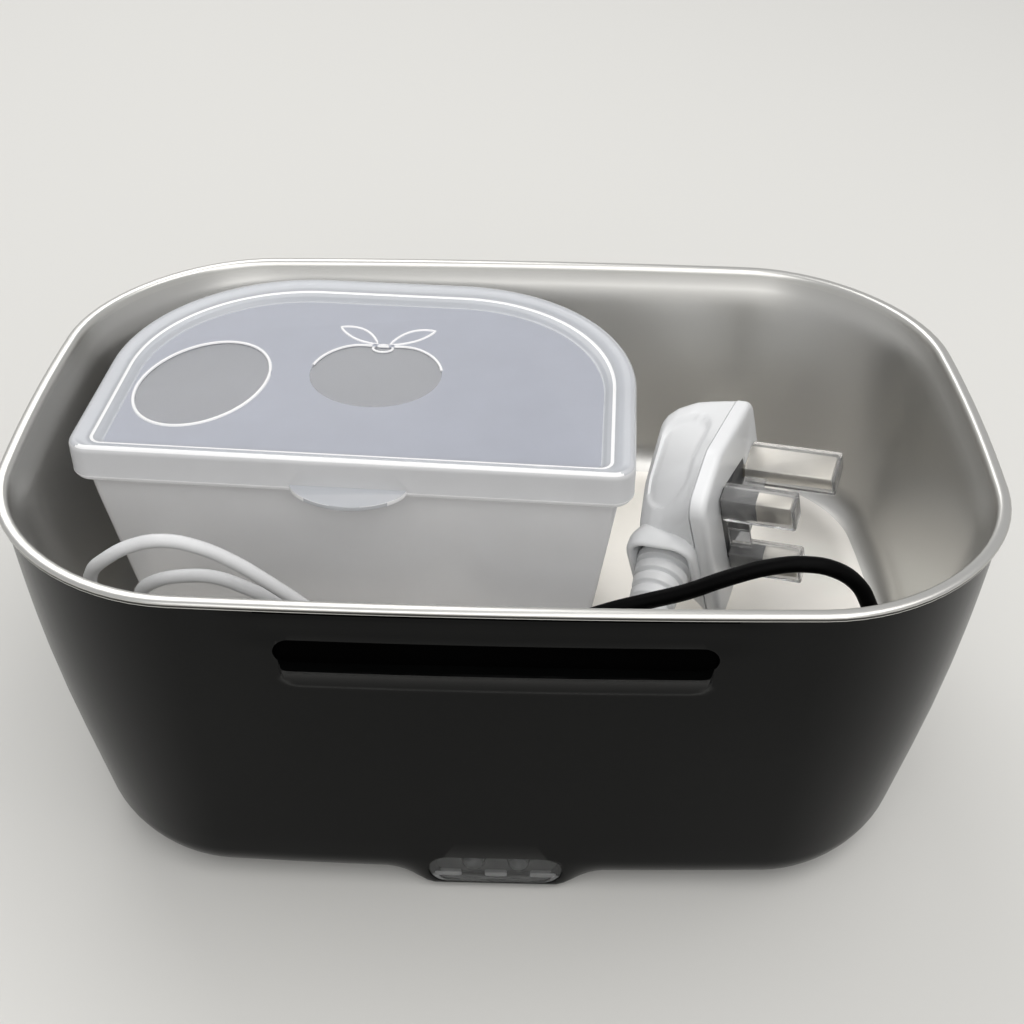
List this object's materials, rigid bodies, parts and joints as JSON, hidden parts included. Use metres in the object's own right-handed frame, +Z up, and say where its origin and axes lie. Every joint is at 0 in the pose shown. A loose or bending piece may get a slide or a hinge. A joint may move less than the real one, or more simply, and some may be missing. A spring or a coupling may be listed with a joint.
{
  "type": "electric lunch box",
  "caption": "Heated lunch box: black tapered case with lift-out steel tray, lidded side-dish box, and stored mains and car leads.",
  "frame": {"origin": "centre of the footprint on the floor, under the feet", "axes": "+X along the case's length to the right seen from the front, +Y to the back, +Z up; the latch slot and the indicator are at the front"},
  "size_m": [0.23, 0.1512, 0.1023],
  "materials": {
    "black_plastic": "satin gloss",
    "grey_plastic": "matt",
    "heater_aluminium": "plain",
    "silicone": "matt",
    "plated_steel": "plain",
    "ceramic": "matt",
    "phenolic": "matt",
    "board": "satin",
    "lamp": "clear",
    "lens": "clear",
    "rubber": "matt",
    "wire_red": "satin",
    "wire_black": "satin",
    "tray_steel": "brushed",
    "frosted_plastic": "frosted, see-through",
    "clear_plastic": "clear",
    "white_plastic": "satin",
    "dark_grey_plastic": "matt",
    "nickel": "satin",
    "fuse_red": "satin",
    "white_cord": "satin",
    "black_cord": "satin",
    "brass": "satin"
  },
  "bodies": {
    "housing": {"outer_shell": "black_plastic", "base_cover": "black_plastic", "inner_tub": "grey_plastic", "heater_plate": "heater_aluminium", "heater_gasket": "silicone", "heating_elements": "heater_aluminium", "heater_straps": "plated_steel", "strap_screws": "plated_steel", "thermostats": "phenolic", "thermal_fuses": "ceramic", "indicator_board": "board", "indicator_lamps": "lamp", "indicator_lens": "lens", "mains_socket": "black_plastic", "mains_socket_pins": "plated_steel", "low_voltage_socket": "black_plastic", "base_screws": "plated_steel", "rubber_feet": "rubber", "mains_wires": "wire_red", "low_voltage_wires": "wire_black"},
    "tray": {"steel_tray": "tray_steel"},
    "compartment": {"side_dish_box": "frosted_plastic"},
    "compartment_lid": {"side_dish_lid": "frosted_plastic"},
    "stored_leads": {"plug_body": "white_plastic", "plug_base": "white_plastic", "plug_face_plate": "dark_grey_plastic", "earth_pin": "nickel", "line_neutral_pins": "nickel", "pin_sleeves": "dark_grey_plastic", "pin_cover": "clear_plastic", "fuse_carrier": "fuse_red", "plug_fuse": "ceramic", "plug_strain_relief": "white_plastic", "mains_cord": "white_cord", "mains_cord_hank": "white_cord", "appliance_connector": "white_plastic", "dc_cord": "black_cord", "dc_cord_coil": "black_cord", "car_plug_body": "black_plastic", "car_plug_ring": "dark_grey_plastic", "car_plug_tip": "brass", "car_plug_springs": "plated_steel", "dc_connector_body": "black_plastic", "dc_connector_barrel": "nickel"}
  },
  "joints": [
    {"name": "tray_lift", "type": "slide", "parent": "housing", "child": "tray", "axis": [0, 0, 1], "range_m": [0, 0.12]},
    {"name": "side_dish_lift", "type": "slide", "parent": "tray", "child": "compartment", "axis": [0, 0, 1], "range_m": [0, 0.08]},
    {"name": "side_dish_lid_lift", "type": "slide", "parent": "compartment", "child": "compartment_lid", "axis": [0, 0, 1], "range_m": [0, 0.05]},
    {"name": "leads_lift", "type": "slide", "parent": "tray", "child": "stored_leads", "axis": [0, 0, 1], "range_m": [0, 0.09]}
  ]
}
